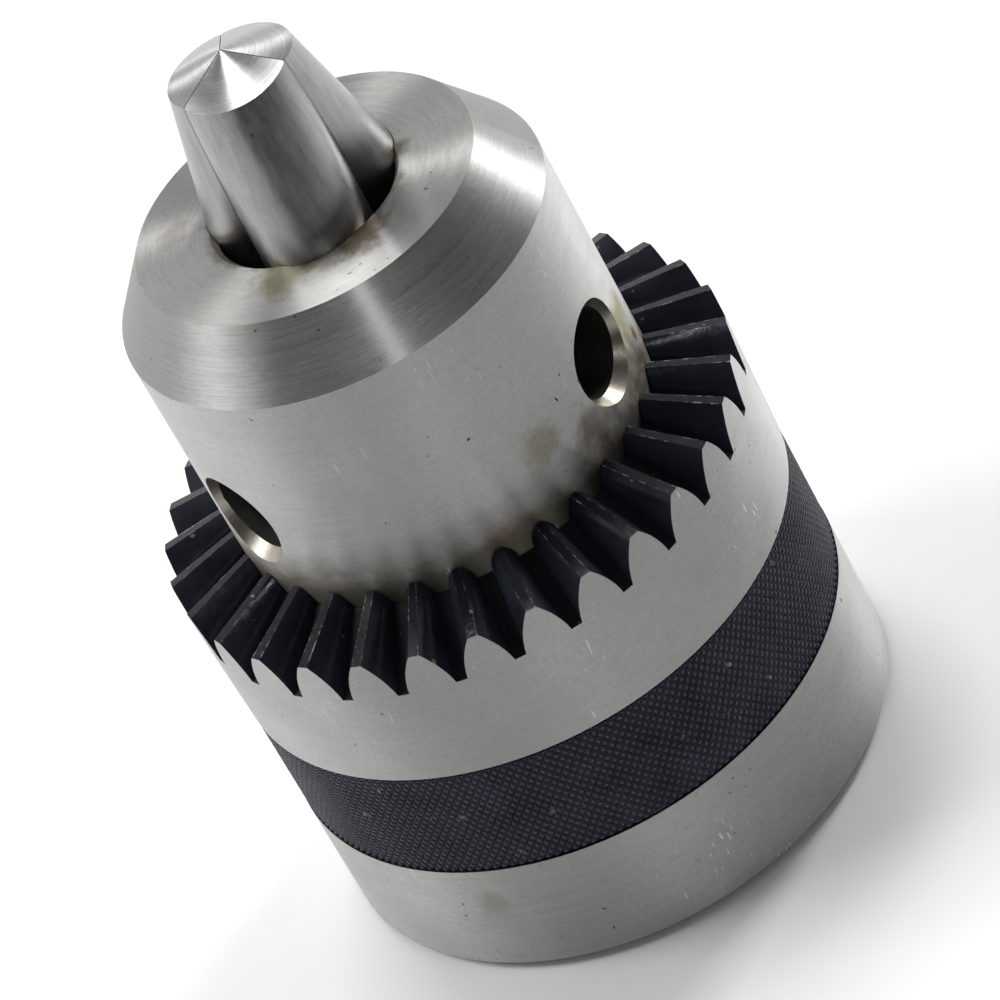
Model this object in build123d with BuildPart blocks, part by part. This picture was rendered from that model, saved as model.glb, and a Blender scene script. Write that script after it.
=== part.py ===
from build123d import *
from math import atan, ceil, cos, degrees, floor, pi, radians, sin, tan
import os

# Keyed drill chuck, 13 mm capacity, with a B16 taper socket and a ball thrust bearing.
# The origin is the centre of the body's rear face, +Z runs along the spindle axis towards
# the jaw tips, and every length is in millimetres. The jaws are modelled closed.

os.makedirs("parts", exist_ok=True)

# ------------------------------------------------------------------ driving dimensions
# Jaws: three inclined rods whose axes meet the chuck axis at one point.
jaw_count = 3
first_jaw_azimuth = -90.0        # degrees from +X, in plan
jaw_angle = 13.5                 # degrees between a jaw and the chuck axis
jaw_radius = 5.05
jaw_axis_meets = 86.15           # height where the three jaw axes cross the chuck axis
jaw_tip_height = 85.4
jaw_tip_slope = 20.0             # degrees, of the cone ground on the closed tips
jaw_rear_height = 30.1           # centre of a closed jaw's rear face
jaw_seam = 0.04                  # half the gap between two closed jaws
jaw_edge = 0.12                  # chamfer along a jaw's two long edges
jaw_relief_reach = 17.7          # flat that trims the rear outer corner
capacity = 13.0                  # largest shank held

# Nose: the plain front of the body.
nose_radius = 19.75
nose_face_radius = 15.7
nose_face_height = 68.7
nose_chamfer_height = 62.85
mouth_radius = 8.3               # central bore at the nose
mouth_depth = 24.0
mouth_edge = 0.5                 # edge break round the mouth
throat_radius = 6.9              # central bore behind the mouth
throat_bottom = 31.0

# Rear of the body.
flange_radius = 24.5
flange_top = 21.9
flange_edge = 0.6
lip_radius = 21.35               # centres the lower race
lip_height = 0.8
taper_mouth_radius = 7.867       # B16, 15.733 mm at the mouth
taper_length = 24.0
taper_ratio = 0.04995            # diameter per millimetre of length
taper_edge = 0.6
drift_hole_radius = 3.25
jaw_bore_clearance = 0.05
jaw_bore_rear = 2.6              # centre of the bore's flat end

# Key pilot holes, between the jaws.
key_hole_radius = 4.0
key_hole_countersink = 4.8
key_hole_countersink_depth = 1.2
key_hole_height = 48.0
key_hole_floor = 9.0             # distance of the hole's flat end from the chuck axis

# Sleeve and its bevel teeth.
sleeve_radius = 26.5
sleeve_rim_radius = 26.9         # the toothed band flares to this at the crests
sleeve_bottom = 0.6
sleeve_edge = 0.35
sleeve_nose_bore = 19.85
sleeve_nut_bore = 24.24
sleeve_skirt_bore = 24.6
skirt_top = 24.5
ceiling_height = 35.5
ceiling_radius = 21.3
ceiling_shoulder = 32.6
tooth_count = 31
tooth_phase = 3.84               # degrees, first gap from +X
# Each pair is the value at the rim and at the nose bore.
tooth_crest_height = (39.15, 41.07)
tooth_root_height = (35.0, 39.25)
gap_floor_width = (1.05, 1.45)
crest_width = (0.9, 0.67)
flank_bulge = (0.26, 0.2)        # sagitta of the convex tooth flank
knurl_bottom = 12.8
knurl_top = 24.7
knurl_seat_depth = 0.3

# Nut: split ring with a conical right-hand thread that drives the jaws.
nut_bottom = 26.0
nut_top = 35.4
nut_radius = 24.24
nut_shoulder = 32.5
nut_groove_top = 35.7
neck_depth = 1.65                # the body's neck lies this far inside the jaws' outer line
thread_pitch = 2.0               # measured along the chuck axis
thread_depth = 1.15              # ridge height inside the jaws' outer line
thread_root_gap = 0.15           # nut wall outside the jaws' outer line
thread_crest_width = 0.45
thread_flank = 15.0              # degrees
thread_clearance = 0.13
thread_lead_in = 2               # turns cut past each end of the nut

# Ball thrust bearing between the body's flange and the nut.
race_inner_radius = 21.45
lower_race_radius = 24.0
upper_race_radius = 24.2
race_thickness = 1.35
ball_count = 24
ball_radius = 1.0
ball_circle_radius = 22.8
ball_height = 23.95
ball_groove_radius = 1.03
cage_thickness = 0.7
cage_inner_radius = 21.5
cage_outer_radius = 24.1
cage_pocket_gap = 0.06

cut_overrun = 1.0                # how far a cutting shape runs past what it cuts

# ------------------------------------------------------------------ derived dimensions
slope = tan(radians(jaw_angle))
jaw_reach = jaw_radius / cos(radians(jaw_angle))
jaw_advance = capacity / 2 / slope          # how far the jaws draw back, along the axis


def axis_offset(height):
    """Distance of a closed jaw's axis from the chuck axis."""
    return (jaw_axis_meets - height) * slope


def outer_line(height):
    """Distance of a closed jaw's outermost line from the chuck axis."""
    return axis_offset(height) + jaw_reach


def jaw_plane(height):
    """Cross-section plane of the jaw that lies towards +X."""
    lean = radians(jaw_angle)
    return Plane(
        origin=(axis_offset(height), 0, height),
        x_dir=(cos(lean), 0, sin(lean)),
        z_dir=(-sin(lean), 0, cos(lean)),
    )


def half_section(points):
    """Fill a closed (radius, height) outline in the sketch that is being drawn."""
    Polygon(*points, align=None)


# ------------------------------------------------------------------ body
neck_top_radius = outer_line(nut_groove_top) - neck_depth
neck_bottom_radius = outer_line(flange_top + lip_height) - neck_depth
taper_end_radius = taper_mouth_radius - taper_length * taper_ratio / 2
jaw_bore_length = (nose_face_height + jaw_radius - jaw_bore_rear) / cos(radians(jaw_angle))
countersink_width = key_hole_countersink - key_hole_radius
countersink_angle = 2 * degrees(atan(countersink_width / key_hole_countersink_depth))
key_hole_depth = nose_radius - key_hole_floor
key_hole_planes = []
for number in range(jaw_count):
    azimuth = radians(first_jaw_azimuth + (number + 0.5) * 360 / jaw_count)
    outward = Vector(cos(azimuth), sin(azimuth), 0)
    surface_point = outward * nose_radius + Vector(0, 0, key_hole_height)
    key_hole_planes.append(Plane(origin=surface_point, z_dir=outward))

with BuildPart() as jaw_bore:
    with BuildSketch(jaw_plane(jaw_bore_rear)):
        Circle(jaw_radius + jaw_bore_clearance)
    extrude(amount=jaw_bore_length)

with BuildPart() as body:
    with BuildSketch(Plane.XZ):
        half_section([
            (0, 0),
            (flange_radius - flange_edge, 0),
            (flange_radius, flange_edge),
            (flange_radius, flange_top),
            (lip_radius, flange_top),
            (lip_radius, flange_top + lip_height),
            (neck_bottom_radius, flange_top + lip_height),
            (neck_top_radius, nut_groove_top),
            (nose_radius, nut_groove_top),
            (nose_radius, nose_chamfer_height),
            (nose_face_radius, nose_face_height),
            (0, nose_face_height),
        ])
    revolve(axis=Axis.Z)
    # Taper socket, drift hole and the stepped central bore, cut as one turned shape.
    with BuildSketch(Plane.XZ):
        half_section([
            (0, 0),
            (taper_mouth_radius + taper_edge, 0),
            (taper_mouth_radius, taper_edge),
            (taper_end_radius, taper_length),
            (drift_hole_radius, taper_length),
            (drift_hole_radius, throat_bottom),
            (throat_radius, throat_bottom),
            (throat_radius, nose_face_height - mouth_depth),
            (mouth_radius, nose_face_height - mouth_depth),
            (mouth_radius, nose_face_height - mouth_edge),
            (mouth_radius + mouth_edge, nose_face_height),
            (0, nose_face_height),
        ])
    revolve(axis=Axis.Z, mode=Mode.SUBTRACT)
    # Inclined jaw bores, blind at the rear.
    with PolarLocations(0, jaw_count, start_angle=first_jaw_azimuth):
        add(jaw_bore.part, mode=Mode.SUBTRACT)
    # Key pilot holes, midway between the jaws.
    with Locations(*key_hole_planes):
        CounterSinkHole(key_hole_radius, key_hole_countersink, key_hole_depth, countersink_angle)

# ------------------------------------------------------------------ sleeve
def at_radius(pair, radius):
    """Value at this radius of a size given at the rim and at the nose bore."""
    share = (sleeve_rim_radius - radius) / (sleeve_rim_radius - sleeve_nose_bore)
    return pair[0] + (pair[1] - pair[0]) * share


def gap_outline(radius):
    """Half-profile of a tooth gap on a plane at this radius."""
    half_floor = at_radius(gap_floor_width, radius) / 2
    half_mouth = (2 * pi * radius / tooth_count - at_radius(crest_width, radius)) / 2
    root = at_radius(tooth_root_height, radius)
    depth = at_radius(tooth_crest_height, radius) - root
    bulge = at_radius(flank_bulge, radius)
    lean = (half_mouth - half_floor) / depth
    return [
        (half_floor, root),
        ((half_floor + half_mouth) / 2 - bulge, root + depth / 2 + bulge * lean),
        (half_mouth, root + depth),
        (half_mouth + cut_overrun * lean, root + depth + cut_overrun),
    ]


def gap_section(radius):
    """Face of one tooth gap on the plane at this radius."""
    root, middle, mouth, sky = gap_outline(radius)
    with BuildSketch(Plane(origin=(radius, 0, 0), x_dir=(0, 1, 0), z_dir=(1, 0, 0))) as section:
        with BuildLine():
            Line((0, root[1]), root)
            ThreePointArc(root, middle, mouth)
            Polyline(mouth, sky, (0, sky[1]))
            mirror(about=Plane.YZ)
        make_face()
    return section.sketch


with BuildPart() as tooth_gap:
    loft(
        [gap_section(sleeve_rim_radius + cut_overrun), gap_section(sleeve_nose_bore - cut_overrun)],
        ruled=True,
    )

with BuildPart() as sleeve:
    with BuildSketch(Plane.XZ):
        half_section([
            (sleeve_skirt_bore, sleeve_bottom),
            (sleeve_radius - sleeve_edge, sleeve_bottom),
            (sleeve_radius, sleeve_bottom + sleeve_edge),
            (sleeve_radius, knurl_bottom),
            (sleeve_radius - knurl_seat_depth, knurl_bottom),
            (sleeve_radius - knurl_seat_depth, knurl_top),
            (sleeve_radius, knurl_top),
            (sleeve_rim_radius, tooth_crest_height[0]),
            (sleeve_nose_bore, tooth_crest_height[1]),
            (sleeve_nose_bore, ceiling_height),
            (ceiling_radius, ceiling_height),
            (sleeve_nut_bore, ceiling_shoulder),
            (sleeve_nut_bore, skirt_top),
            (sleeve_skirt_bore, skirt_top),
        ])
    revolve(axis=Axis.Z)
    with PolarLocations(0, tooth_count, start_angle=tooth_phase):
        add(tooth_gap.part, mode=Mode.SUBTRACT)

# ------------------------------------------------------------------ nut
ridge_crest_half = thread_crest_width / 2
ridge_depth = thread_depth + thread_root_gap
helix_start = nut_bottom - thread_lead_in * thread_pitch
helix_height = nut_top - nut_bottom + 2 * thread_lead_in * thread_pitch
furrow_overrun = 0.4             # the cut starts this far inside the bore
furrow_half_root = thread_pitch / 2 - ridge_crest_half - ridge_depth * tan(radians(thread_flank))
furrow_half_start = furrow_half_root + (ridge_depth + furrow_overrun) * tan(radians(thread_flank))
furrow_height = helix_start + thread_pitch / 2   # midway between two turns of the ridge
crest_line = outer_line(furrow_height) - thread_depth

# The space between the turns of the nut's ridge.
with BuildPart() as thread_furrow:
    with BuildLine() as thread_path:
        Helix(
            pitch=thread_pitch / cos(radians(jaw_angle)),
            height=helix_height,
            radius=crest_line,
            center=(0, 0, furrow_height),
            cone_angle=-jaw_angle,
        )
    with BuildSketch(Plane.XZ):
        half_section([
            (crest_line - furrow_overrun, furrow_height - furrow_half_start),
            (crest_line + ridge_depth, furrow_height - furrow_half_root),
            (crest_line + ridge_depth, furrow_height + furrow_half_root),
            (crest_line - furrow_overrun, furrow_height + furrow_half_start),
        ])
    sweep(path=thread_path.line, is_frenet=True)

with BuildPart() as nut:
    with BuildSketch(Plane.XZ):
        half_section([
            (outer_line(nut_bottom) - thread_depth, nut_bottom),
            (nut_radius, nut_bottom),
            (nut_radius, nut_shoulder),
            (ceiling_radius, nut_top),
            (outer_line(nut_top) - thread_depth, nut_top),
        ])
    revolve(axis=Axis.Z)
    add(thread_furrow.part, mode=Mode.SUBTRACT)

with BuildPart() as nut_half_1:
    add(nut.part)
    split(bisect_by=Plane.XZ, keep=Keep.TOP)

with BuildPart() as nut_half_2:
    add(nut.part)
    split(bisect_by=Plane.XZ, keep=Keep.BOTTOM)

# ------------------------------------------------------------------ jaws
jaw_length = (jaw_tip_height + jaw_radius - jaw_rear_height) / cos(radians(jaw_angle))
tip_drop = tan(radians(jaw_tip_slope))
seam_apex = jaw_seam / sin(radians(180 / jaw_count))
seam_slope = tan(radians(180 / jaw_count))
jaw_box = 2 * nose_radius        # comfortably larger than a jaw
relief_size = 3 * jaw_radius

# One jaw without its thread, lying towards +X.
with BuildPart() as jaw_blank:
    with BuildSketch(jaw_plane(jaw_rear_height)):
        Circle(jaw_radius)
    extrude(amount=jaw_length)
    # Two flats that meet on the chuck axis.
    with BuildSketch(Plane.XY):
        Polygon(
            (seam_apex, 0),
            (jaw_box, -(jaw_box - seam_apex) * seam_slope),
            (jaw_box, (jaw_box - seam_apex) * seam_slope),
            align=None,
        )
    extrude(amount=jaw_tip_height + cut_overrun, mode=Mode.INTERSECT)
    chamfer(jaw_blank.edges().filter_by(GeomType.ELLIPSE), jaw_edge)
    # Cone ground across the three closed tips.
    with BuildSketch(Plane.XZ):
        half_section([
            (0, 0),
            (jaw_box, 0),
            (jaw_box, jaw_tip_height - jaw_box * tip_drop),
            (0, jaw_tip_height),
        ])
    revolve(axis=Axis.Z, mode=Mode.INTERSECT)
    # Flat that keeps the rear outer corner inside the sleeve when the jaws are open.
    with BuildSketch(Plane.YZ.offset(jaw_relief_reach)):
        with Locations((0, jaw_rear_height)):
            Rectangle(relief_size, relief_size)
    extrude(amount=jaw_radius, mode=Mode.SUBTRACT)

# One thread groove: a ring about the chuck axis at the middle of the nut, tilted by the
# lead of the thread, so that it fits the nut's ridge at every point of the travel.
nut_middle = (nut_bottom + nut_top) / 2
lead_angle = atan(thread_pitch / (2 * pi * outer_line(nut_middle)))
groove_up = Vector(0, -sin(lead_angle), cos(lead_angle))
groove_plane = Plane(
    origin=(0, 0, nut_middle),
    x_dir=(1, 0, 0),
    z_dir=Vector(1, 0, 0).cross(groove_up),
)
groove_floor = outer_line(nut_middle) - thread_depth - thread_clearance
groove_outside = outer_line(nut_middle) + cut_overrun
groove_half_floor = ridge_crest_half + thread_clearance
groove_half_mouth = groove_half_floor + (groove_outside - groove_floor) * tan(radians(thread_flank))

with BuildPart() as groove_cutter:
    with BuildSketch(groove_plane):
        Polygon(
            (groove_floor, -groove_half_floor),
            (groove_outside, -groove_half_mouth),
            (groove_outside, groove_half_mouth),
            (groove_floor, groove_half_floor),
            align=None,
        )
    revolve(axis=Axis((0, 0, nut_middle), groove_up))


def groove_heights(azimuth):
    """Heights of the nut's ridge, carried on along a closed jaw at this azimuth."""
    start = helix_start + thread_pitch * azimuth / 360
    first = ceil((jaw_rear_height - start) / thread_pitch)
    last = floor((nut_top + jaw_advance - start) / thread_pitch + 0.5)
    return [start + turn * thread_pitch for turn in range(first, last + 1)]


jaws = []
for number in range(jaw_count):
    azimuth = first_jaw_azimuth + number * 360 / jaw_count
    with BuildPart() as threaded:
        add(jaw_blank.part)
        with Locations(*[
            ((nut_middle - height) * slope, 0, height - nut_middle)
            for height in groove_heights(azimuth)
        ]):
            add(groove_cutter.part, mode=Mode.SUBTRACT)
    with BuildPart() as jaw:
        add(threaded.part, rotation=(0, 0, azimuth))
    jaws.append(jaw.part)

# ------------------------------------------------------------------ thrust bearing
def race(bottom, outer_radius):
    """Flat ring with a ball groove in the face on the balls' side."""
    with BuildPart() as ring:
        with BuildSketch(Plane.XY.offset(bottom)):
            Circle(outer_radius)
            Circle(race_inner_radius, mode=Mode.SUBTRACT)
        extrude(amount=race_thickness)
        with BuildSketch(Plane.XZ):
            with Locations((ball_circle_radius, ball_height)):
                Circle(ball_groove_radius)
        revolve(axis=Axis.Z, mode=Mode.SUBTRACT)
    return ring.part


lower_race = race(flange_top, lower_race_radius)
upper_race = race(nut_bottom - race_thickness, upper_race_radius)

with BuildPart() as ball_cage:
    with BuildSketch(Plane.XY.offset(ball_height - cage_thickness / 2)):
        Circle(cage_outer_radius)
        Circle(cage_inner_radius, mode=Mode.SUBTRACT)
        with PolarLocations(ball_circle_radius, ball_count):
            Circle(ball_radius + cage_pocket_gap, mode=Mode.SUBTRACT)
    extrude(amount=cage_thickness)

balls = []
for number in range(ball_count):
    turn = radians(number * 360 / ball_count)
    with BuildPart() as ball:
        with Locations((ball_circle_radius * cos(turn), ball_circle_radius * sin(turn), ball_height)):
            Sphere(ball_radius)
    balls.append(ball.part)

# ------------------------------------------------------------------ files
pieces = {
    "body": body.part,
    "sleeve": sleeve.part,
    "nut_half_1": nut_half_1.part,
    "nut_half_2": nut_half_2.part,
    "lower_race": lower_race,
    "upper_race": upper_race,
    "ball_cage": ball_cage.part,
}
for number, part in enumerate(jaws, start=1):
    pieces[f"jaw_{number}"] = part
for number, part in enumerate(balls, start=1):
    pieces[f"ball_{number:02d}"] = part

for name, part in pieces.items():
    part.label = name
    export_step(part, f"parts/{name}.step")
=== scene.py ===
import math

import bmesh
import bpy
from mathutils import Matrix, Vector


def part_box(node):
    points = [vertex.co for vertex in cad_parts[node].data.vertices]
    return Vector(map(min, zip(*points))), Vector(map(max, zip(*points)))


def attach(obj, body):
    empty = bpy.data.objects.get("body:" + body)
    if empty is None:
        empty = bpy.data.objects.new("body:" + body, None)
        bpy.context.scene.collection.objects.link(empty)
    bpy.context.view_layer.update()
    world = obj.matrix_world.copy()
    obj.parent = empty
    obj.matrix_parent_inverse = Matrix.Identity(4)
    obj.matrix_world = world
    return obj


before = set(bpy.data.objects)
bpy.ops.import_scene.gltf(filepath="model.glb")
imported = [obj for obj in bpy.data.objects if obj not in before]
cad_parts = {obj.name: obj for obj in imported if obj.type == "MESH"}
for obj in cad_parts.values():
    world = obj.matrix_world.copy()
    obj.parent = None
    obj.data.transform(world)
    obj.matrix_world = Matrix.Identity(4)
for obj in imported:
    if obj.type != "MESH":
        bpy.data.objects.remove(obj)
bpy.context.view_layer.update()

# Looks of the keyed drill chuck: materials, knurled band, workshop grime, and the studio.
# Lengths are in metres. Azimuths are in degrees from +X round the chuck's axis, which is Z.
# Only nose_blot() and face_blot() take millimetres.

MM = 0.001

# ---------------------------------------------------------------- places on the chuck
FACE_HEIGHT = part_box("body")[1].z
FACE_STAIN_HEIGHT = 68.7 * MM
CHAMFER_FOOT = 62.85 * MM
NOSE_RADIUS = 19.75 * MM
MOUTH_RADIUS = 8.3 * MM
SLEEVE_RADIUS = 26.5 * MM
RIM_RADIUS = 26.9 * MM                        # the toothed band flares out to this

TEETH_FOOT = 34.8 * MM
TOOTH_COUNT = 31
TOOTH_PHASE = math.radians(3.84)              # middle of the first gap from +X
CREST_RIM, CREST_BORE = 39.15 * MM, 41.07 * MM             # a crest's height at its two ends
CREST_HALF_RIM, CREST_HALF_BORE = 0.45 * MM, 0.335 * MM    # half its width there
CREST_DEPTH = 0.6 * MM                        # how far down the crest's material reaches

KNURL_BOTTOM, KNURL_TOP = 12.8 * MM, 24.7 * MM
KNURL_SEAT = 26.2 * MM                        # radius of the floor of the knurl's groove

KEY_HOLE_HEIGHT = 48.0 * MM
KEY_HOLE_AZIMUTHS = (-30, 90, 210)
KEY_HOLE_EDGE = 4.02 * MM                     # just outside the plain bore
COUNTERSINK_EDGE = 4.9 * MM
COUNTERSINK_DEPTH = 2.4 * MM

# ---------------------------------------------------------------- noise, in waves to the metre
CLOUD_SCALE = 90.0
SCUFF_FIELD_SCALE = 110.0
DRIFT_SCALE = 150.0
PIT_FIELD_SCALE = 160.0
OXIDE_CLOUD_SCALE = 220.0
WEAR_SCALE = 330.0
RAGGED_SCALE = 420.0
DUST_SCALE = 900.0
GRIT_SCALE = 1500.0
PIT_SCALE = 1900.0
SPECKLE_SCALE = 2600.0
SCUFF_SCALE = 4200.0

# Sockets of a Mix node that is set to colours
MIX_FACTOR, MIX_A, MIX_B, MIX_RESULT = 0, 6, 7, 2
ACROSS_THE_MARKS = 0.25                       # quarter turn of the highlight


# ---------------------------------------------------------------- node helpers
class Nodes:
    """Short ways to add nodes to one node tree."""

    def __init__(self, tree):
        self.tree = tree

    def add(self, kind, **settings):
        node = self.tree.nodes.new(kind)
        for key, value in settings.items():
            setattr(node, key, value)
        return node

    def link(self, source, target):
        self.tree.links.new(source, target)

    def feed(self, socket, value):
        """Link an output to the socket, or set the socket to a number or colour."""
        if hasattr(value, "links"):
            self.link(value, socket)
        else:
            socket.default_value = value

    def math(self, operation, a, b=0.0):
        node = self.add("ShaderNodeMath", operation=operation)
        for socket, value in zip(node.inputs, (a, b)):
            self.feed(socket, value)
        return node.outputs[0]

    def plus(self, a, b):
        return self.math("ADD", a, b)

    def minus(self, a, b):
        return self.math("SUBTRACT", a, b)

    def times(self, a, b):
        return self.math("MULTIPLY", a, b)

    def span(self, value, low, high, to_low=0.0, to_high=1.0):
        """Map value from low..high onto to_low..to_high, held at the ends."""
        node = self.add("ShaderNodeMapRange")
        for socket, number in zip(node.inputs, (value, low, high, to_low, to_high)):
            self.feed(socket, number)
        return node.outputs[0]

    def mix(self, factor, a, b):
        """Colour a where factor is 0, colour b where it is 1."""
        node = self.add("ShaderNodeMix", data_type="RGBA")
        self.feed(node.inputs[MIX_FACTOR], factor)
        for index, colour in ((MIX_A, a), (MIX_B, b)):
            self.feed(node.inputs[index], (*colour, 1.0) if isinstance(colour, tuple) else colour)
        return node.outputs[MIX_RESULT]

    def split(self, vector):
        node = self.add("ShaderNodeSeparateXYZ")
        self.link(vector, node.inputs[0])
        return node.outputs[0], node.outputs[1], node.outputs[2]

    def join(self, x, y, z):
        node = self.add("ShaderNodeCombineXYZ")
        for socket, value in zip(node.inputs, (x, y, z)):
            self.feed(socket, value)
        return node.outputs[0]

    def radius(self, x, y):
        return self.math("SQRT", self.plus(self.times(x, x), self.times(y, y)))

    def noise(self, vector, scale, detail=2.0, roughness=0.5):
        node = self.add("ShaderNodeTexNoise")
        self.feed(node.inputs["Vector"], vector)
        node.inputs["Scale"].default_value = scale
        node.inputs["Detail"].default_value = detail
        node.inputs["Roughness"].default_value = roughness
        return node.outputs["Fac"]


class Surface(Nodes):
    """The nodes of one new material."""

    def __init__(self, name):
        self.material = bpy.data.materials.new(name)
        self.material.use_nodes = True
        super().__init__(self.material.node_tree)
        self.shader = self.tree.nodes["Principled BSDF"]

    def position(self):
        """Object coordinates as a vector, and as x, y and z."""
        coordinates = self.add("ShaderNodeTexCoord").outputs["Object"]
        return coordinates, *self.split(coordinates)

    def near(self, coordinates, centre, reach, ragged):
        """1 inside a soft, ragged-edged blot round a point, 0 outside it."""
        offset = self.add("ShaderNodeVectorMath", operation="DISTANCE")
        self.link(coordinates, offset.inputs[0])
        offset.inputs[1].default_value = centre
        share = self.math("DIVIDE", offset.outputs["Value"], reach)
        edge = self.plus(share, self.span(ragged, 0.3, 0.7, -0.35, 0.35))
        return self.span(edge, 0.35, 1.0, 1.0, 0.0)

    def bump(self, height, strength, distance, normal=None):
        node = self.add("ShaderNodeBump")
        node.inputs["Strength"].default_value = strength
        node.inputs["Distance"].default_value = distance
        self.feed(node.inputs["Height"], height)
        if normal is not None:
            self.feed(node.inputs["Normal"], normal)
        return node.outputs[0]

    def turned(self, anisotropy):
        """Highlights drawn out across lathe marks that run round the Z axis."""
        tangent = self.add("ShaderNodeTangent", direction_type="RADIAL", axis="Z")
        self.link(tangent.outputs[0], self.shader.inputs["Tangent"])
        self.shader.inputs["Anisotropic"].default_value = anisotropy
        self.shader.inputs["Anisotropic Rotation"].default_value = ACROSS_THE_MARKS


# ---------------------------------------------------------------- stains on bare steel, and painted shade
# Each returns a function that steel() calls to lay the stain over the metal's colour.
def blot(azimuth, radius, height, reach, colour, strength):
    """A round stain."""
    turn = math.radians(azimuth)
    centre = Vector((radius * math.cos(turn), radius * math.sin(turn), height))

    def lay(n, shade, coordinates, ragged):
        mask = n.near(coordinates, centre, reach, ragged)
        return n.mix(n.times(mask, strength), shade, colour)
    return lay


def nose_blot(azimuth, height, reach, colour, strength):
    """A stain on the side of the nose; height and reach in millimetres."""
    return blot(azimuth, NOSE_RADIUS, height * MM, reach * MM, colour, strength)


def face_blot(azimuth, radius, reach, colour, strength):
    """A stain on the flat face; radius and reach in millimetres."""
    return blot(azimuth, radius * MM, FACE_STAIN_HEIGHT, reach * MM, colour, strength)


def oil_and_shade_film(top, foot, colour, strength):
    """Oil that has settled on a wall, thickest at its foot, together with painted shade of the
    teeth that stand below it.
    """
    def lay(n, shade, coordinates, ragged):
        waver = n.span(ragged, 0.3, 0.7, -0.8 * MM, 0.8 * MM)
        level = n.plus(n.split(coordinates)[2], waver)
        return n.mix(n.span(level, foot, top, strength, 0.0), shade, colour)
    return lay


def greasy_rim(inner, outer, colour, strength):
    """Grease that has crept out over the edge of the mouth."""
    def lay(n, shade, coordinates, ragged):
        x, y, _ = n.split(coordinates)
        level = n.plus(n.radius(x, y), n.span(ragged, 0.3, 0.7, -0.6 * MM, 0.6 * MM))
        return n.mix(n.span(level, inner, outer, strength, 0.0), shade, colour)
    return lay


def scuffs(strength):
    """A few short bright scratches that run with the axis."""
    def lay(n, shade, coordinates, ragged):
        stretch = n.add("ShaderNodeMapping")
        stretch.inputs["Scale"].default_value = (1.0, 1.0, 0.16)
        n.link(coordinates, stretch.inputs["Vector"])
        line = n.span(n.noise(stretch.outputs[0], SCUFF_SCALE, 0.0, 0.4), 0.77, 0.81)
        field = n.noise(coordinates, SCUFF_FIELD_SCALE, 1.0)
        place = n.span(field, 0.56, 0.66, 0.0, strength)
        return n.mix(n.times(line, place), shade, SCRATCH)
    return lay


# ---------------------------------------------------------------- the two kinds of metal
def scaled(tone, share):
    return tuple(share * c for c in tone)


def steel(name, tone, roughness, anisotropy=0.0, marks=0.0, mark_scale=4000.0, grain=0.0,
          pits=0.0, stains_and_shade=(), along=False, streaks=0.25):
    """Bare steel.

    marks is the depth of the tool lines and streaks their lightness; they run round the axis,
    or along it where along is true. grain is the depth of the ground speckle, pits how strong
    the dark pits are.
    """
    n = Surface(name)
    coordinates, x, y, z = n.position()
    n.shader.inputs["Metallic"].default_value = 1.0
    if anisotropy:
        n.turned(anisotropy)
    if along:
        line_space = n.join(x, y, n.times(z, 0.02))
    else:
        drift = n.times(n.noise(coordinates, DRIFT_SCALE, 1.0), 0.9 * MM)
        line_space = n.join(n.radius(x, y), drift, z)
    lines = n.noise(line_space, mark_scale, 3.0, 0.7)
    speckle = n.noise(coordinates, SPECKLE_SCALE, 3.0, 0.65)
    cloud = n.noise(coordinates, CLOUD_SCALE, 4.0, 0.6)
    ragged = n.noise(coordinates, RAGGED_SCALE, 4.0, 0.65)
    shade = n.mix(n.span(cloud, 0.3, 0.7), scaled(tone, 0.82), scaled(tone, 1.10))
    shade = n.mix(n.span(speckle, 0.35, 0.65, 0.0, 0.4), shade, scaled(tone, 0.68))
    shade = n.mix(n.span(lines, 0.35, 0.65, 0.0, streaks), shade, scaled(tone, 1.35))
    if pits:
        field = n.span(n.noise(coordinates, PIT_FIELD_SCALE, 1.0), 0.50, 0.62)
        pit = n.span(n.noise(coordinates, PIT_SCALE, 0.0, 0.4), 0.82, 0.85, 0.0, pits)
        shade = n.mix(n.times(pit, field), shade, PIT)
    # stains, and on the nose also painted shade by the teeth
    for lay in stains_and_shade:
        shade = lay(n, shade, coordinates, ragged)
    n.link(shade, n.shader.inputs["Base Color"])
    uneven = n.plus(n.span(lines, 0.3, 0.7, -0.03, 0.04), n.span(cloud, 0.3, 0.7, -0.02, 0.03))
    n.link(n.plus(uneven, roughness), n.shader.inputs["Roughness"])
    normal = None
    if grain:
        normal = n.bump(speckle, grain, 0.02 * MM)
    if marks:
        normal = n.bump(lines, marks, 0.02 * MM, normal)
    if normal is not None:
        n.link(normal, n.shader.inputs["Normal"])
    return n.material


def crest_wear_and_glints(n, coordinates, x, y, z, grit):
    """Where rubbing has taken the oxide off the two corners of each tooth crest, lightened also
    as painted glints.
    """
    pitch = 2 * math.pi / TOOTH_COUNT
    turn = n.math("DIVIDE", n.minus(n.math("ARCTAN2", y, x), TOOTH_PHASE), pitch)
    share = n.minus(n.math("FRACT", n.plus(turn, TOOTH_COUNT)), 0.5)
    r = n.radius(x, y)
    arc = n.times(n.math("ABSOLUTE", share), n.times(r, pitch))
    half = n.span(r, NOSE_RADIUS, RIM_RADIUS, CREST_HALF_BORE, CREST_HALF_RIM)
    crest = n.span(r, NOSE_RADIUS, RIM_RADIUS, CREST_BORE, CREST_RIM)
    off = n.math("ABSOLUTE", n.minus(arc, half))
    corner = n.span(off, 0.015 * MM, 0.07 * MM, 1.0, 0.0)
    high = n.span(n.minus(z, crest), -0.16 * MM, -0.06 * MM)
    patchy = n.span(n.noise(coordinates, WEAR_SCALE, 2.0, 0.6), 0.46, 0.68)
    broken = n.times(n.span(grit, 0.50, 0.58, 0.05, 1.0), patchy)
    return n.times(n.times(corner, high), broken)


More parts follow.
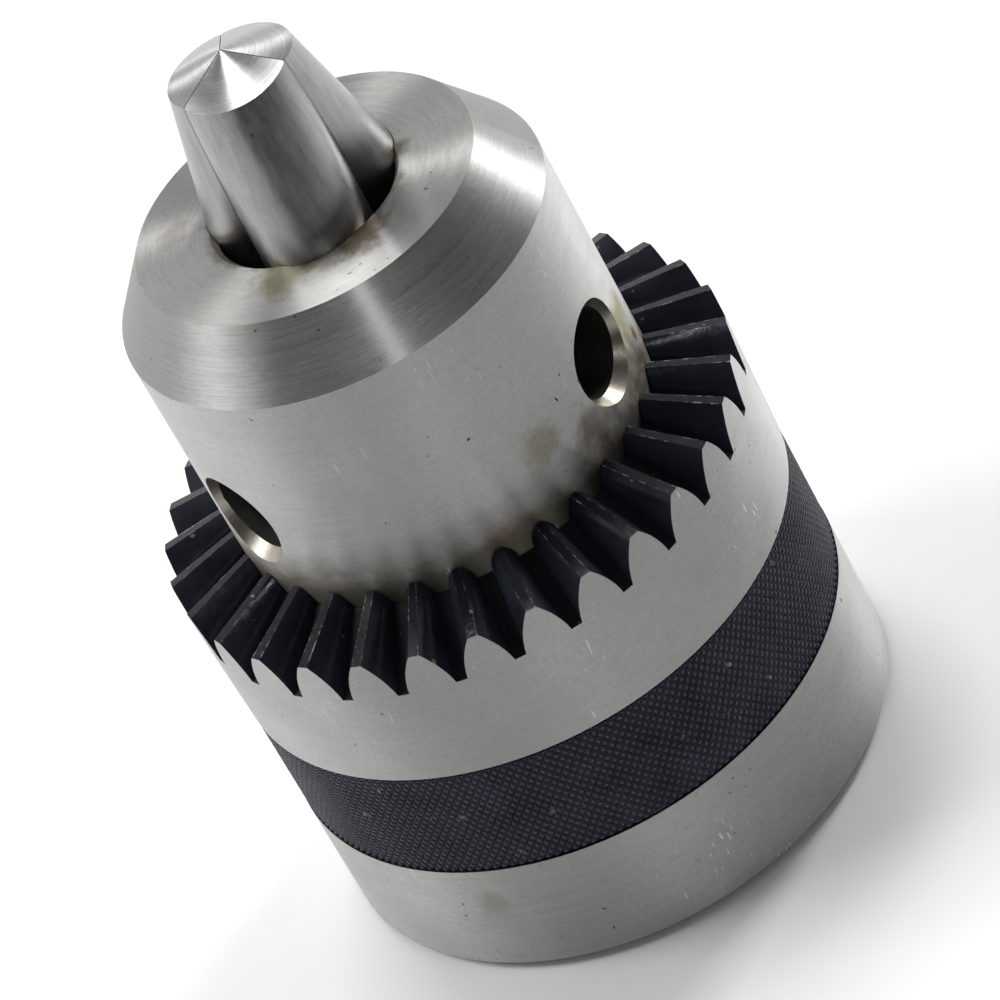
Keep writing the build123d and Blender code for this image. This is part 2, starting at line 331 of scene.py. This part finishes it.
def black_oxide(name, roughness, lift=1.0, specular=0.35, bite=0.35, worn_glinting_crests=False):
    """Chemically blackened steel, slightly oily. lift lightens it; bite is how rough it feels."""
    n = Surface(name)
    coordinates, x, y, z = n.position()
    grit = n.noise(coordinates, GRIT_SCALE, 4.0, 0.7)
    cloud = n.noise(coordinates, OXIDE_CLOUD_SCALE, 3.0, 0.6)
    shade = n.mix(n.span(cloud, 0.3, 0.7), scaled(OXIDE_DARK, lift), scaled(OXIDE_LIGHT, lift))
    dust = n.span(n.noise(coordinates, DUST_SCALE, 1.0, 0.4), 0.76, 0.79, 0.0, 0.5)
    shade = n.mix(dust, shade, DUST)
    if worn_glinting_crests:
        # bare crest corners, lightened also as painted glints
        shade = n.mix(crest_wear_and_glints(n, coordinates, x, y, z, grit), shade, WORN_CREST_AND_GLINT)
    n.link(shade, n.shader.inputs["Base Color"])
    n.shader.inputs["Metallic"].default_value = 0.2
    n.shader.inputs["Specular IOR Level"].default_value = specular
    uneven = n.span(grit, 0.3, 0.7, roughness - 0.06, roughness + 0.10)
    n.link(uneven, n.shader.inputs["Roughness"])
    n.link(n.bump(grit, bite, 0.03 * MM), n.shader.inputs["Normal"])
    return n.material


# ---------------------------------------------------------------- colours
CHAMFER_STEEL = (0.300, 0.300, 0.296)
NOSE_STEEL = (0.450, 0.449, 0.440)
SLEEVE_STEEL = (0.400, 0.398, 0.392)
FACE_STEEL = (0.390, 0.388, 0.374)
COUNTERSINK_STEEL = (0.33, 0.31, 0.26)
BORE_STEEL = (0.10, 0.10, 0.095)
JAW_STEEL = (0.33, 0.33, 0.34)
TIP_STEEL = (0.42, 0.42, 0.43)
NUT_STEEL = (0.24, 0.235, 0.23)
RACE_STEEL = (0.5, 0.5, 0.5)
CAGE_STEEL = (0.3, 0.29, 0.26)
SCRATCH = (0.75, 0.75, 0.74)
PIT = (0.03, 0.025, 0.02)
OXIDE_DARK, OXIDE_LIGHT = (0.010, 0.011, 0.016), (0.020, 0.022, 0.031)
DUST = (0.35, 0.35, 0.33)
# worn crest corners, also their painted glints
WORN_CREST_AND_GLINT = (0.40, 0.40, 0.41)
OIL = (0.085, 0.062, 0.030)
OLD_OIL = (0.17, 0.15, 0.060)
# this and the next colour paint oil together with the shade at the nose's foot
THIN_OIL_AND_SHADE = (0.13, 0.115, 0.085)
THICK_OIL_AND_SHADE = (0.035, 0.030, 0.020)
# oil colour that also paints shade at the nose's foot
BLACK_OIL_AND_SHADE = (0.030, 0.025, 0.016)
RUST = (0.13, 0.044, 0.014)
PAPER_DARK, PAPER_LIGHT = (0.86, 0.86, 0.86), (0.89, 0.89, 0.89)
CARD_DARK, CARD_LIGHT = (0.006, 0.006, 0.006), (0.012, 0.012, 0.012)

# ---------------------------------------------------------------- materials
nose_stains_and_shade = [
    # oil with painted shade of the teeth, darkest at the nose's foot
    oil_and_shade_film(46.2 * MM, 41.0 * MM, THIN_OIL_AND_SHADE, 0.80),
    oil_and_shade_film(43.0 * MM, 41.2 * MM, THICK_OIL_AND_SHADE, 0.35),
    nose_blot(-61, 47.2, 2.4, OLD_OIL, 0.50),       # dried oil above the teeth
    nose_blot(-45, 44.2, 3.4, OIL, 0.55),
    nose_blot(-22, 43.6, 4.0, OIL, 0.60),           # below the right-hand key hole
    nose_blot(-13, 46.4, 3.4, OLD_OIL, 0.75),       # beside it
    nose_blot(-78, 41.6, 2.0, RUST, 0.25),          # grime in the joint with the sleeve
    nose_blot(-9, 43.4, 0.9, RUST, 0.90),
    # oil with painted shade of the teeth at the foot of the nose
    nose_blot(-16, 42.0, 3.4, BLACK_OIL_AND_SHADE, 0.70),
    scuffs(0.5),
]
face_stains = [
    greasy_rim(8.5 * MM, 9.5 * MM, OIL, 0.70),
    face_blot(-110, 10.4, 3.4, OLD_OIL, 0.70),
    face_blot(-88, 9.4, 2.4, OIL, 0.70),
    face_blot(-68, 9.9, 3.2, OIL, 0.85),
    face_blot(4, 8.8, 1.6, OIL, 0.75),
    face_blot(166, 11.9, 2.2, OIL, 0.35),
]
sleeve_stains = [blot(-120, SLEEVE_RADIUS, 8.7 * MM, 2.0 * MM, OLD_OIL, 0.30), scuffs(0.8)]

nose_ground = steel("nose_ground_steel", NOSE_STEEL, 0.44, 0.84, marks=0.12, grain=0.40,
                    pits=0.9, stains_and_shade=nose_stains_and_shade)
chamfer_turned = steel("chamfer_turned_steel", CHAMFER_STEEL, 0.38, 0.96, marks=0.45,
                       mark_scale=6500.0, pits=0.8, streaks=0.55)
face_turned = steel("face_turned_steel", FACE_STEEL, 0.36, 0.96, marks=0.35,
                    mark_scale=7500.0, pits=0.8, streaks=0.35, stains_and_shade=face_stains)
countersink_steel = steel("countersink_steel", COUNTERSINK_STEEL, 0.33, marks=0.4, grain=0.7,
                          pits=0.8)
inner_steel = steel("bore_steel", BORE_STEEL, 0.5, grain=0.3)
sleeve_ground = steel("sleeve_ground_steel", SLEEVE_STEEL, 0.45, 0.84, marks=0.12, grain=0.40,
                      pits=0.8, stains_and_shade=sleeve_stains)
tooth_black = black_oxide("tooth_black_oxide", 0.17, lift=1.5, worn_glinting_crests=True)
# crest tops and gap floors take darker copies of the tooth oxide: painted shade
crest_shaded_black = black_oxide("crest_black_oxide_painted_shade", 0.16, lift=0.5, specular=0.45, bite=1.0,
                          worn_glinting_crests=True)
gap_shaded_black = black_oxide("gap_black_oxide_painted_shade", 0.45, lift=0.4, specular=0.10)
jaw_ground = steel("jaw_ground_steel", JAW_STEEL, 0.31, marks=0.12, mark_scale=1500.0,
                   grain=0.15, pits=0.8, along=True, streaks=0.5)
jaw_tip = steel("jaw_tip_steel", TIP_STEEL, 0.34, 0.96, marks=0.35, mark_scale=5200.0,
                streaks=0.6)
nut_steel = steel("nut_turned_steel", NUT_STEEL, 0.4, 0.5, marks=0.4)
race_steel = steel("race_polished_steel", RACE_STEEL, 0.18, marks=0.1)
cage_steel = steel("cage_pressed_steel", CAGE_STEEL, 0.4, grain=0.2)


# ---------------------------------------------------------------- which face gets which
# A mesh face's centre lies a little inside the round surface, so radii are tested with slack.
SLACK = 0.1 * MM


def faces_by(node, choose, materials):
    """Give each face of a CAD node the material that choose(centre, normal) names."""
    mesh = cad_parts[node].data
    mesh.materials.clear()
    order = list(materials)
    for key in order:
        mesh.materials.append(materials[key])
    for polygon in mesh.polygons:
        polygon.material_index = order.index(choose(polygon.center, polygon.normal))


def outward(centre):
    return Vector((centre.x, centre.y, 0))


def near_countersink(centre):
    """True outside the plain bore of a key hole."""
    for azimuth in KEY_HOLE_AZIMUTHS:
        turn = math.radians(azimuth)
        across = centre.y * math.cos(turn) - centre.x * math.sin(turn)
        along = centre.x * math.cos(turn) + centre.y * math.sin(turn)
        off = math.hypot(across, centre.z - KEY_HOLE_HEIGHT)
        if along > 0 and KEY_HOLE_EDGE < off < COUNTERSINK_EDGE:
            return True
    return False


def body_zone(centre, normal):
    reach = outward(centre).length
    looks_up, slants, stands = normal.z > 0.65, normal.z > 0.3, abs(normal.z) < 0.1
    if centre.z > FACE_HEIGHT - 0.7 * MM and looks_up and reach > MOUTH_RADIUS - SLACK:
        return "face"
    if centre.z > CHAMFER_FOOT - 0.05 * MM and slants and reach > MOUTH_RADIUS:
        return "chamfer"
    if reach > NOSE_RADIUS - SLACK and stands:
        return "ground"
    if centre.z < 0.7 * MM:                   # the rear face and its edge
        return "chamfer"
    beside_hole = abs(centre.z - KEY_HOLE_HEIGHT) < COUNTERSINK_EDGE
    if reach > NOSE_RADIUS - COUNTERSINK_DEPTH and beside_hole and near_countersink(centre):
        return "countersink"
    return "inner"


def sleeve_zone(centre, normal):
    reach = outward(centre)
    faces_out = normal.dot(reach.normalized()) > 0.8
    if (reach.length > SLEEVE_RADIUS - 0.12 * MM and faces_out) or centre.z < 1.2 * MM:
        return "ground"
    if centre.z > TEETH_FOOT and reach.length > NOSE_RADIUS and normal.z > -0.5:
        sideways = abs(normal.dot(Vector((-reach.y, reach.x, 0)).normalized()))
        if sideways > 0.45:                   # a tooth's flank
            return "black"
        share = (reach.length - NOSE_RADIUS) / (RIM_RADIUS - NOSE_RADIUS)
        crest = CREST_BORE + (CREST_RIM - CREST_BORE) * share
        # crests and gap floors get darker copies of the oxide, as painted shade
        return "crest" if centre.z > crest - CREST_DEPTH else "gap"
    beside_knurl = KNURL_BOTTOM - MM < centre.z < KNURL_TOP + MM
    if beside_knurl and reach.length > KNURL_SEAT - 0.5 * MM:
        return "black"
    return "inner"


def jaw_zone(centre, normal):
    return "tip" if normal.z > 0.85 and centre.z > FACE_HEIGHT else "side"


faces_by("body", body_zone, {"face": face_turned, "chamfer": chamfer_turned,
                             "ground": nose_ground, "countersink": countersink_steel,
                             "inner": inner_steel})
faces_by("sleeve", sleeve_zone, {"ground": sleeve_ground, "black": tooth_black,
                                 "crest": crest_shaded_black, "gap": gap_shaded_black,
                                 "inner": inner_steel})
for name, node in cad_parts.items():
    plain = None
    if name.startswith("jaw_"):
        faces_by(name, jaw_zone, {"tip": jaw_tip, "side": jaw_ground})
    elif name.startswith("nut_"):
        plain = nut_steel
    elif name == "ball_cage":
        plain = cage_steel
    elif name.endswith("_race") or name.startswith("ball_"):
        plain = race_steel
    if plain:
        node.data.materials.clear()
        node.data.materials.append(plain)


# ---------------------------------------------------------------- knurled band
def knurled_band():
    """Ring of flat-topped diamonds in the sleeve's shallow groove."""
    diamonds, rows = 196, 11
    columns, levels = 2 * diamonds, 2 * rows  # a diamond is two columns wide, two levels high
    valley, peak = KNURL_SEAT + 0.03 * MM, SLEEVE_RADIUS - 0.05 * MM
    margin = 0.25 * MM                        # left clear at both edges of the groove
    low, high = KNURL_BOTTOM + margin, KNURL_TOP - margin
    step_turn, step_rise = math.pi / diamonds, (high - low) / levels
    flat = 0.35                               # half a diamond's flat top, in columns or levels
    steps = [(1, 0), (0, 1), (-1, 0), (0, -1)]
    bm = bmesh.new()

    def vertex(radius, column, row):
        turn = column * step_turn
        height = low + row * step_rise
        return bm.verts.new(Vector((radius * math.cos(turn), radius * math.sin(turn), height)))

    def distinct(vertices):
        return [v for i, v in enumerate(vertices) if v is not None and v not in vertices[:i]]

    grid = {}
    for column in range(columns):
        for row in range(levels + 1):
            if (column + row) % 2 == 0:
                grid[column, row] = vertex(valley, column, row)
    for column in range(columns):
        for row in range(levels + 1):
            if (column + row) % 2 == 0:
                continue
            top = [vertex(peak, column + flat * a, row + flat * b)
                   if 0 <= row + b <= levels else None for a, b in steps]
            if None in top:                   # half a diamond, at an edge of the band
                middle = vertex(peak, column, row)
                top = [middle if t is None else t for t in top]
            foot = [grid.get(((column + a) % columns, row + b)) for a, b in steps]
            for k in range(4):
                a, b = k, (k + 1) % 4
                ring = distinct([foot[a], foot[b], top[b], top[a]])
                if len(ring) > 2 and (foot[a] is not None or foot[b] is not None):
                    bm.faces.new(ring)
            cap = distinct(top)
            if len(cap) > 2:
                bm.faces.new(cap)
    mesh = bpy.data.meshes.new("knurled_band")
    bm.to_mesh(mesh)
    bm.free()
    band = bpy.data.objects.new("knurled_band", mesh)
    bpy.context.scene.collection.objects.link(band)
    band.data.materials.append(black_oxide("knurl_black_oxide", 0.38, lift=2.3))
    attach(band, "sleeve_assembly")


knurled_band()

# ---------------------------------------------------------------- studio
FLOOR_SIZE = 4.0
AIM = Vector((0, 0, 42 * MM))
LIGHT_DISTANCE = 1.2


def direction(azimuth, elevation):
    a, e = math.radians(azimuth), math.radians(elevation)
    return Vector((math.cos(e) * math.cos(a), math.cos(e) * math.sin(a), math.sin(e)))


def paper_floor():
    bpy.ops.mesh.primitive_plane_add(size=FLOOR_SIZE, location=(0, 0, 0))
    floor = bpy.context.object
    floor.name = "studio_floor"
    paper = Surface("studio_paper")
    fibre = paper.noise(paper.position()[0], 40.0)
    paper.link(paper.mix(paper.span(fibre, 0.3, 0.7), PAPER_DARK, PAPER_LIGHT),
               paper.shader.inputs["Base Color"])
    paper.shader.inputs["Roughness"].default_value = 0.9
    paper.shader.inputs["Specular IOR Level"].default_value = 0.1
    floor.data.materials.append(paper.material)


def soft_light(name, azimuth, elevation, width, height, power):
    """A rectangular lamp that faces the chuck from LIGHT_DISTANCE away."""
    data = bpy.data.lights.new(name, "AREA")
    data.shape = "RECTANGLE"
    data.size, data.size_y = width, height
    data.energy = power
    lamp = bpy.data.objects.new(name, data)
    bpy.context.scene.collection.objects.link(lamp)
    place = AIM + LIGHT_DISTANCE * direction(azimuth, elevation)
    lamp.location = place
    lamp.rotation_euler = (AIM - place).to_track_quat("-Z", "Y").to_euler()


def black_flag(low_azimuth, high_azimuth, distance, height):
    """Low curved black card in front of the chuck, which its polished parts mirror."""
    panels = 24
    foot_height = 0.5 * MM                    # clear of the floor
    mesh = bpy.data.meshes.new("black_flag")
    corners = []
    for step in range(panels + 1):
        turn = math.radians(low_azimuth + (high_azimuth - low_azimuth) * step / panels)
        foot = Vector((distance * math.cos(turn), distance * math.sin(turn), foot_height))
        corners += [foot, foot + Vector((0, 0, height))]
    faces = [(2 * i, 2 * i + 2, 2 * i + 3, 2 * i + 1) for i in range(panels)]
    mesh.from_pydata(corners, [], faces)
    flag = bpy.data.objects.new("black_flag", mesh)
    bpy.context.scene.collection.objects.link(flag)
    card = Surface("black_card")
    fibre = card.noise(card.position()[0], 300.0)
    card.link(card.mix(fibre, CARD_DARK, CARD_LIGHT), card.shader.inputs["Base Color"])
    card.shader.inputs["Roughness"].default_value = 0.9
    mesh.materials.append(card.material)
    for ray in ("camera", "diffuse", "shadow", "transmission"):      # leaves reflections only
        setattr(flag, "visible_" + ray, False)


def room():
    """The world: bright beyond the chuck, dark on the camera's side, dimmer overhead."""
    bright_azimuth, bright_elevation = 98, 10
    dark_end, bright_end = -0.40, 0.55        # cosines of the angle from the brightest point
    dark, bright = 0.05, 1.40
    dusk_starts, dusk_ends, dusk = 0.15, 0.65, 0.36
    world = bpy.data.worlds.new("studio_world")
    bpy.context.scene.world = world
    world.use_nodes = True
    n = Nodes(world.node_tree)
    toward = n.add("ShaderNodeTexCoord").outputs["Generated"]
    facing = n.add("ShaderNodeVectorMath", operation="DOT_PRODUCT")
    n.link(toward, facing.inputs[0])
    facing.inputs[1].default_value = direction(bright_azimuth, bright_elevation)
    wall = n.span(facing.outputs["Value"], dark_end, bright_end, dark, bright)
    dimming = n.span(n.split(toward)[2], dusk_starts, dusk_ends, 1.0, dusk)
    background = n.tree.nodes["Background"]
    n.link(n.times(wall, dimming), background.inputs["Strength"])
    background.inputs["Color"].default_value = (1, 1, 1, 1)


paper_floor()
soft_light("left_softbox", 167, 46, width=0.52, height=0.52, power=6.6)
soft_light("right_back_softbox", 42, 27, width=0.30, height=0.28, power=7.2)
soft_light("camera_side_lamp", -80, 40, width=0.08, height=0.08, power=1.3)
soft_light("overhead_softbox", 98, 70, width=0.32, height=0.32, power=5.6)
black_flag(-116, 6, distance=270 * MM, height=120 * MM)
room()

# ---------------------------------------------------------------- camera
CAMERA_OUT = 463.7 * MM                       # distance from the chuck's axis
CAMERA_UP = 370.5 * MM
CAMERA_AZIMUTH = math.radians(-82.0)
CAMERA_PITCH, CAMERA_YAW, CAMERA_ROLL = 0.6321, 0.0039, -0.5159      # radians
SENSOR_WIDTH, FOCAL_LENGTH = 36.0, 235.46     # millimetres, as Blender has them
CLIP_START = 0.01

camera_data = bpy.data.cameras.new("camera")
camera_data.sensor_width = SENSOR_WIDTH
camera_data.lens = FOCAL_LENGTH
camera_data.clip_start = CLIP_START
camera = bpy.data.objects.new("camera", camera_data)
bpy.context.scene.collection.objects.link(camera)
heading = CAMERA_AZIMUTH + math.pi - CAMERA_YAW
forward = Vector((math.cos(heading) * math.cos(CAMERA_PITCH),
                  math.sin(heading) * math.cos(CAMERA_PITCH),
                  -math.sin(CAMERA_PITCH)))
level = Vector((math.sin(heading), -math.cos(heading), 0))
upright = level.cross(forward)
right = level * math.cos(CAMERA_ROLL) + upright * math.sin(CAMERA_ROLL)
up = -level * math.sin(CAMERA_ROLL) + upright * math.cos(CAMERA_ROLL)
turn = Matrix((right, up, -forward)).transposed().to_4x4()
place = Vector((CAMERA_OUT * math.cos(CAMERA_AZIMUTH), CAMERA_OUT * math.sin(CAMERA_AZIMUTH),
                CAMERA_UP))
camera.matrix_world = Matrix.Translation(place) @ turn
bpy.context.scene.camera = camera
bpy.context.scene.view_settings.view_transform = "Standard"
